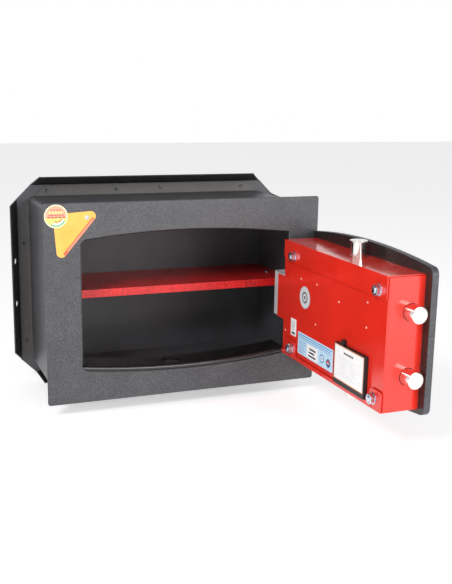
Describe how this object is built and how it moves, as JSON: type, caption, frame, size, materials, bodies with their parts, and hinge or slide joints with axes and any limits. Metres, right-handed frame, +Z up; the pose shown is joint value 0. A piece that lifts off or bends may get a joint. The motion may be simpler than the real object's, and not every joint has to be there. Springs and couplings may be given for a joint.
{
  "type": "wall safe",
  "caption": "Built-in wall safe with an open hinged door, red lock case with round bolts thrown, shelf and bent anchor plate.",
  "frame": {"origin": "middle of the front frame, in its back face, where the finished wall ends", "axes": "+Z up, +Y into the wall, +X to the right seen from the room; the door is open by a right angle at rest"},
  "size_m": [0.4725, 0.5213, 0.3316],
  "materials": {
    "anthracite": "anthracite powder coat, fine texture",
    "black_paint": "satin black",
    "red_paint": "gloss red enamel",
    "zinc": "bright zinc plating",
    "nickel": "polished nickel plating",
    "bare_steel": "bare steel",
    "black_plastic": "moulded black plastic",
    "keypad": "printed membrane",
    "label_white": "printed label",
    "label_grey": "grey printed sticker",
    "label_blue": "blue and white printed label",
    "label_yellow": "yellow and orange sticker",
    "battery": "printed sleeve"
  },
  "bodies": {
    "safe": {"front_frame": "anthracite", "anchor_plate": "black_paint", "body_left_wall": "anthracite", "body_right_wall": "anthracite", "body_top_wall": "anthracite", "body_bottom_wall": "anthracite", "jamb_top": "black_paint", "jamb_bottom": "black_paint", "jamb_bolt_side": "black_paint", "hinge_bracket_upper": "zinc", "hinge_bracket_lower": "zinc", "hinge_pin": "zinc", "shelf": "red_paint", "shelf_rail_left": "anthracite", "shelf_rail_right": "anthracite", "shelf_screws": "zinc", "frame_sticker_round": "label_grey", "frame_sticker_triangle": "label_yellow"},
    "door": {"door_plate": "anthracite", "hinge_arm": "zinc", "lock_case": "red_paint", "case_channel_top": "red_paint", "case_channel_bottom": "red_paint", "case_studs": "zinc", "case_nuts": "zinc", "case_rivets": "zinc", "knob_rose": "black_plastic", "bolt_guide": "bare_steel", "rod_guide_top": "bare_steel", "rod_guide_bottom": "bare_steel", "hardplate": "bare_steel", "lock_unit": "black_plastic", "lock_unit_bracket": "bare_steel", "battery_box": "black_plastic", "batteries": "battery", "keypad_housing": "black_plastic", "keypad_membrane": "keypad", "sticker_round": "label_grey", "label_small": "label_white", "label_strip": "label_blue"},
    "bolt_work": {"bolt_upper": "nickel", "bolt_lower": "nickel", "bolt_bar": "bare_steel", "bolt_screws": "zinc"},
    "top_bolt": {"rod_top": "nickel"},
    "bottom_bolt": {"rod_bottom": "nickel"},
    "knob": {"knob": "black_plastic", "spindle": "bare_steel", "cam": "bare_steel"},
    "lock_pin": {"lock_plunger": "bare_steel"},
    "battery_cover": {"battery_lid": "black_plastic", "battery_clip": "black_plastic", "label_notice": "label_white"}
  },
  "joints": [
    {"name": "door_hinge", "type": "hinge", "parent": "safe", "child": "door", "pos_m": [0.18285, 0.01885, 0], "axis": [0, 0, 1], "range_deg": [-90, 1.5]},
    {"name": "knob_turn", "type": "hinge", "parent": "door", "child": "knob", "pos_m": [0.2117, -0.1815, -0.005], "axis": [-1, 0, 0], "range_deg": [0, 90]},
    {"name": "bolt_work_slide", "type": "slide", "parent": "door", "child": "bolt_work", "axis": [0, 1, 0], "range_m": [0, 0.02]},
    {"name": "top_bolt_slide", "type": "slide", "parent": "door", "child": "top_bolt", "axis": [0, 0, -1], "range_m": [0, 0.02]},
    {"name": "bottom_bolt_slide", "type": "slide", "parent": "door", "child": "bottom_bolt", "axis": [0, 0, 1], "range_m": [0, 0.02]},
    {"name": "lock_pin_slide", "type": "slide", "parent": "door", "child": "lock_pin", "axis": [0, 0, 1], "range_m": [0, 0.006]},
    {"name": "battery_cover_hinge", "type": "hinge", "parent": "door", "child": "battery_cover", "pos_m": [0.1463, -0.2295, -0.086], "axis": [0, -1, 0], "range_deg": [0, 110]}
  ],
  "couplings": [
    {"joint": "knob_turn", "follows": "bolt_work_slide", "rad_per_m": 78.5},
    {"joint": "top_bolt_slide", "follows": "bolt_work_slide", "ratio": 1},
    {"joint": "bottom_bolt_slide", "follows": "bolt_work_slide", "ratio": 1}
  ]
}
